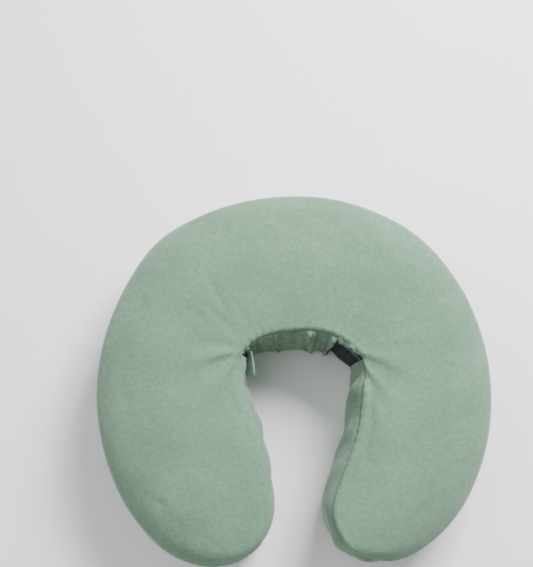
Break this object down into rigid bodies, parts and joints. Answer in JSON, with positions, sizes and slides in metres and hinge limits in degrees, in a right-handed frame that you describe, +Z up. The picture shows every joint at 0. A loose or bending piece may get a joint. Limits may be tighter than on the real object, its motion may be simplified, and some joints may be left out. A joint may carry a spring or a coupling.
{
  "type": "face cradle cushion",
  "caption": "Crescent face cushion for a massage table: foam in black upholstery, hook strips below, wearing a fitted sage flannel cover with an elastic hem.",
  "frame": {"origin": "centre of the bounding box's underside, on the surface the cushion lies on", "axes": "+Z up through the face side, +Y from the open end towards the crown of the crescent, +X to the right seen from above with the crown away from the viewer"},
  "size_m": [0.3128, 0.2908, 0.082],
  "materials": {
    "sage_flannel": "brushed cotton flannel, matte with a short nap",
    "black_upholstery": "black artificial leather with a fine grain",
    "black_ribbed_knit": "black ribbed stretch knit",
    "black_base_cloth": "black brushed loop cloth",
    "hook_tape": "black nylon hook tape",
    "elastic": "white braided elastic",
    "support_foam": "open-cell polyurethane foam",
    "memory_foam": "viscoelastic foam"
  },
  "bodies": {
    "cushion": {"support_foam": "support_foam", "memory_foam": "memory_foam", "face_panel": "black_upholstery", "outer_boxing": "black_upholstery", "inner_boxing": "black_ribbed_knit", "base_panel": "black_base_cloth", "hook_strip_crown": "hook_tape", "hook_strip_left": "hook_tape", "hook_strip_right": "hook_tape"},
    "cover": {"cover_top_panel": "sage_flannel", "cover_skirt": "sage_flannel", "hem_casing": "sage_flannel", "hem_elastic": "elastic", "cover_arch_band": "sage_flannel", "arch_hem": "sage_flannel", "arch_elastic": "elastic"},
    "band_end": {"band_tab": "sage_flannel"}
  },
  "joints": [
    {"name": "cover_lift", "type": "slide", "parent": "cushion", "child": "cover", "axis": [0, 0, 1], "range_m": [0, 0.11], "deforming": ["hem_casing", "hem_elastic", "arch_hem", "arch_elastic"]},
    {"name": "band_tab_swing", "type": "hinge", "parent": "cover", "child": "band_end", "pos_m": [-0.0362, 0.0192, 0.062], "axis": [0, 0, 1], "range_deg": [-4, 75]}
  ]
}
